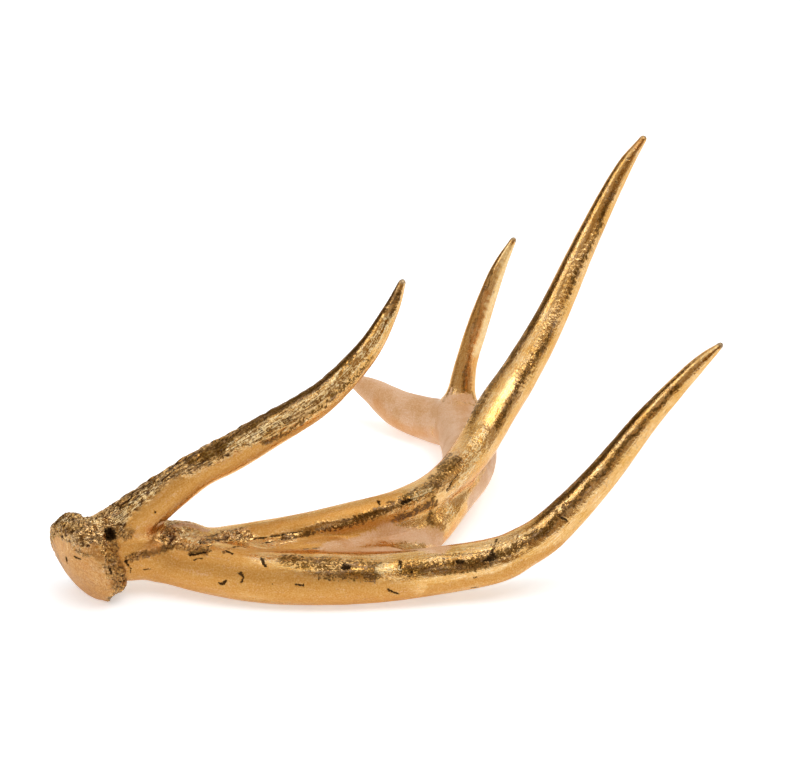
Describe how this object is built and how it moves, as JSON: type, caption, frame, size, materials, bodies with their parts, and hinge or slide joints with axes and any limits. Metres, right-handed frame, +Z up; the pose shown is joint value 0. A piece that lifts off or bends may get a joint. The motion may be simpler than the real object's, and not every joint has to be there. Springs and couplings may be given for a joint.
{
  "type": "elk antler",
  "caption": "Shed elk antler with a knobbed burr, a sweeping main beam and long curved tines, covered in gold leaf, lying on a table.",
  "frame": {"origin": "on the table, under the middle of the antler's bounding box", "axes": "+X from the burr towards the tip of the bez tine, along the antler's greatest extent; +Y along the sweep of the main beam, away from the brow and bez tines; +Z up from the table"},
  "size_m": [0.6286, 0.5193, 0.3588],
  "materials": {
    "gold_leaf": "gold leaf on bone, burnished and finely crinkled, worn matt in places and bare at the tips"
  },
  "bodies": {
    "root": {"burr": "gold_leaf", "lower_beam": "gold_leaf", "brow_tine": "gold_leaf", "bez_tine": "gold_leaf", "trez_tine": "gold_leaf", "upper_beam": "gold_leaf", "beam_point": "gold_leaf", "rear_tine": "gold_leaf"}
  },
  "joints": []
}
